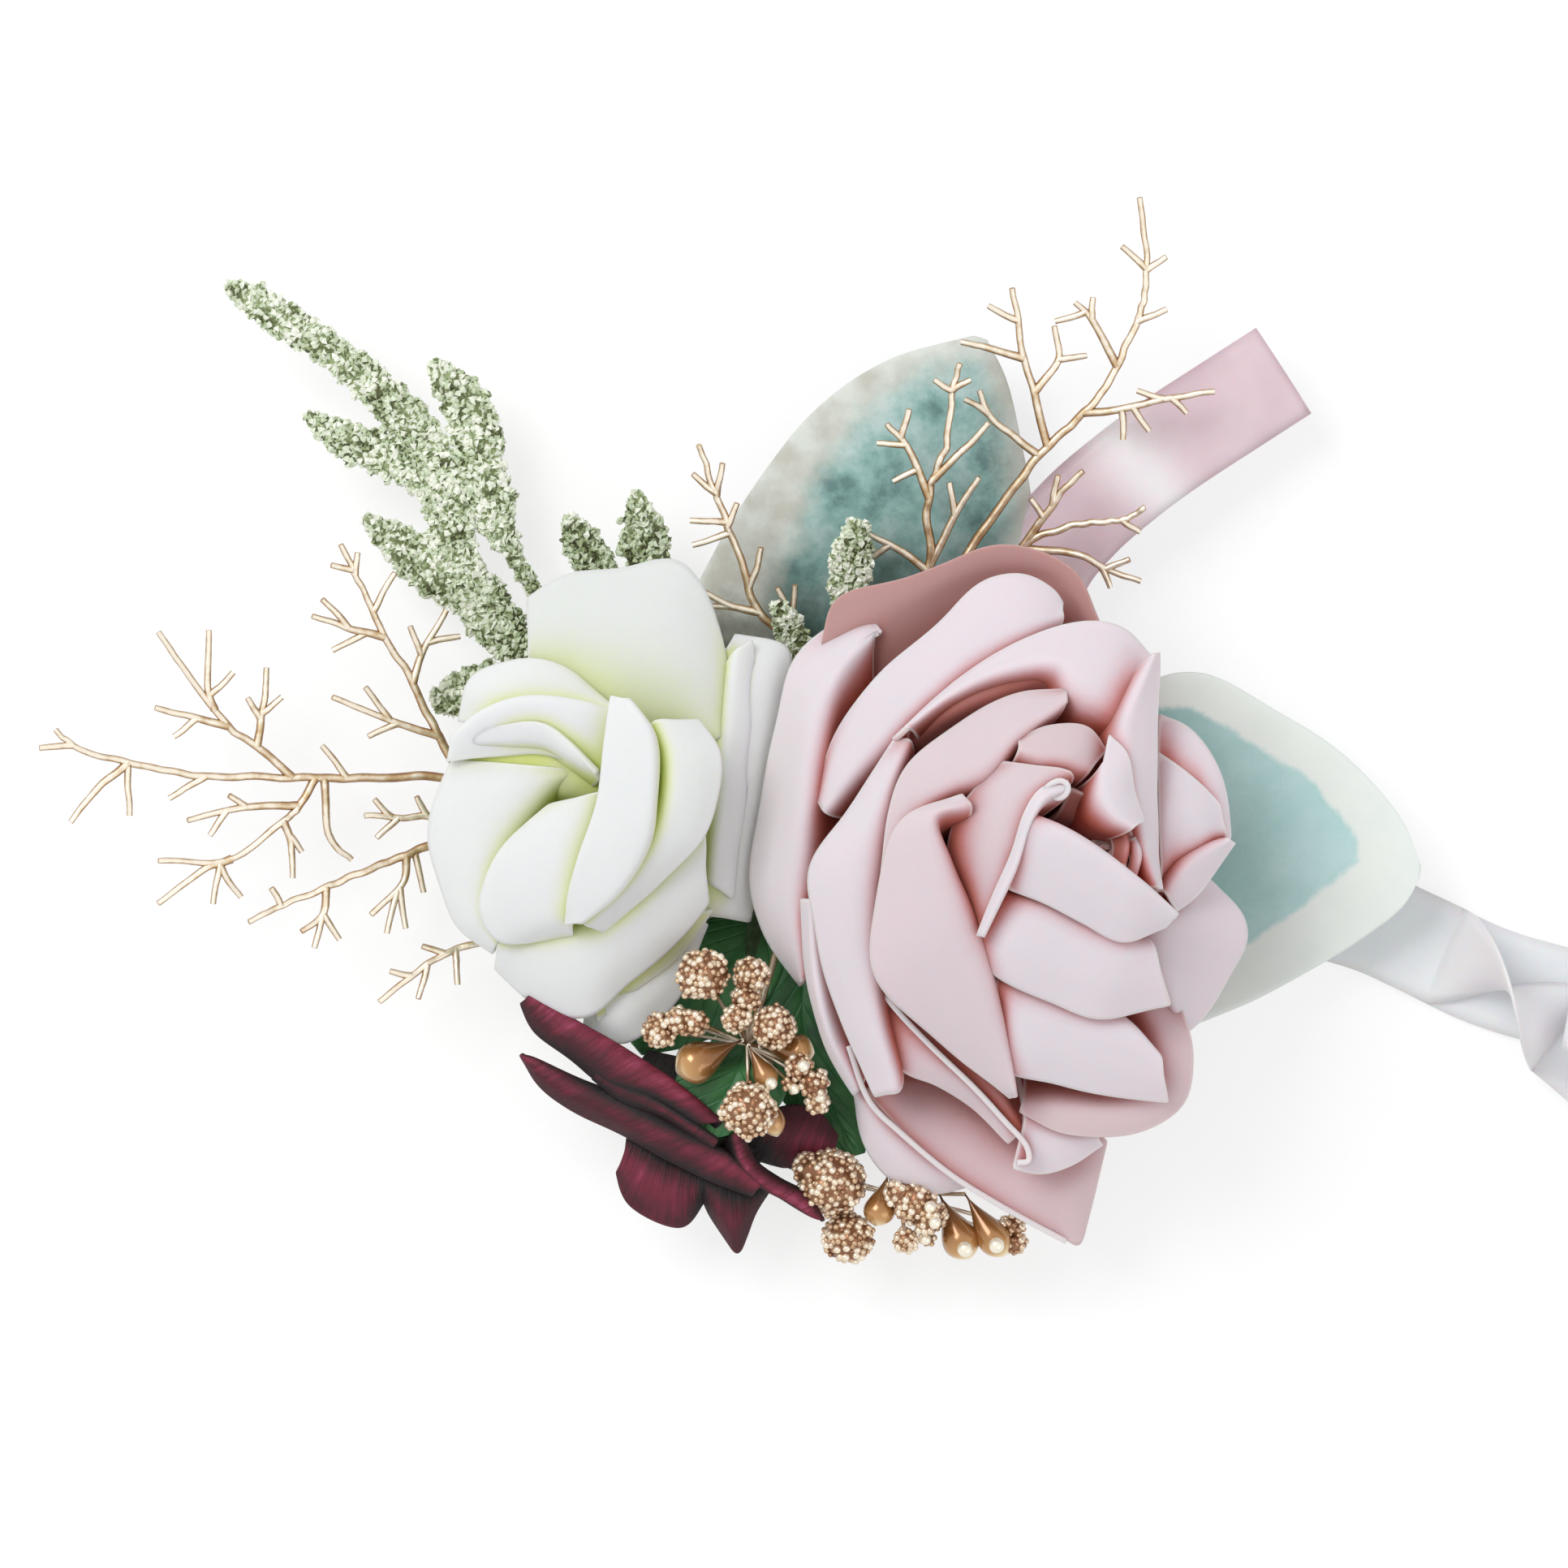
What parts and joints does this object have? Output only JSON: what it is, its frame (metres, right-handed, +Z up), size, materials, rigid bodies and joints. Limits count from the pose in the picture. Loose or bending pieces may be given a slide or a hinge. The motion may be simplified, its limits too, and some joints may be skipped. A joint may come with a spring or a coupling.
{
  "type": "wrist corsage",
  "caption": "Artificial-flower wrist corsage: foam and silk roses, leaves, fern, gold twigs and berries on a felt backing with ribbon tails.",
  "frame": {"origin": "centre of the felt backing's underside, which lies on the wrist or the table", "axes": "+X along the spray's length towards the wrist ribbon's free ends, +Y towards the tall twig, +Z up through the flowers"},
  "size_m": [0.2095, 0.1327, 0.0485],
  "materials": {
    "white_felt": "pressed felt",
    "white_satin": "satin weave",
    "pink_satin": "satin weave",
    "teal_leaf": "velvety flock",
    "dark_leaf": "waxed cloth",
    "fern_green": "glittered",
    "gold": "metallic gold paint",
    "floral_tape": "crepe floral tape",
    "pink_foam": "soft foam",
    "white_foam": "soft foam",
    "burgundy_silk": "velvety silk"
  },
  "bodies": {
    "root": {"felt_backing": "white_felt", "wrist_ribbon": "white_satin", "pink_ribbon_tail": "pink_satin", "top_leaf": "teal_leaf", "right_leaf": "teal_leaf", "dark_leaf": "dark_leaf", "small_dark_leaf": "dark_leaf", "fern_spray": "fern_green", "fern_sprig": "fern_green", "fern_tip": "fern_green", "left_twig": "gold", "upper_left_twig": "gold", "lower_left_twig": "gold", "middle_twig": "gold", "tall_twig": "gold", "centre_twig": "gold", "right_twig": "gold", "berry_pick": "gold", "lower_berry_pick": "gold", "pink_rose_stem_and_calyx": "floral_tape", "pink_rose_core": "pink_foam", "pink_rose_petal_heart": "pink_foam", "pink_rose_petal_heart_top": "pink_foam", "pink_rose_petal_inner_left": "pink_foam", "pink_rose_petal_upper_band": "pink_foam", "pink_rose_petal_middle_band": "pink_foam", "pink_rose_petal_tongue": "pink_foam", "pink_rose_petal_right_lip": "pink_foam", "pink_rose_petal_lower_band": "pink_foam", "pink_rose_petal_top_inner": "pink_foam", "pink_rose_petal_right_cup": "pink_foam", "pink_rose_petal_right_roll": "pink_foam", "pink_rose_petal_top_middle": "pink_foam", "pink_rose_petal_left_inner": "pink_foam", "pink_rose_petal_curled_strip": "pink_foam", "pink_rose_petal_lower_open": "pink_foam", "pink_rose_petal_right_outer": "pink_foam", "pink_rose_petal_top_outer": "pink_foam", "pink_rose_petal_left_outer": "pink_foam", "pink_rose_petal_back": "pink_foam", "pink_rose_petal_bottom_tip": "pink_foam", "pink_rose_petal_bottom_left": "pink_foam", "white_rose_stem_and_calyx": "floral_tape", "white_rose_core": "white_foam", "white_rose_petal_centre_roll": "white_foam", "white_rose_petal_right_inner": "white_foam", "white_rose_petal_left_face": "white_foam", "white_rose_petal_left_mouth": "white_foam", "white_rose_petal_left_outer": "white_foam", "white_rose_petal_lower_right": "white_foam", "white_rose_petal_upper_left": "white_foam", "white_rose_petal_top_back": "white_foam", "white_rose_petal_right_back": "white_foam", "white_rose_petal_bottom_outer": "white_foam", "burgundy_rose_stem_and_calyx": "floral_tape", "burgundy_rose_petal_upper": "burgundy_silk", "burgundy_rose_petal_middle": "burgundy_silk", "burgundy_rose_petal_right": "burgundy_silk", "burgundy_rose_petal_bottom": "burgundy_silk", "stem_bundle": "floral_tape"}
  },
  "joints": []
}
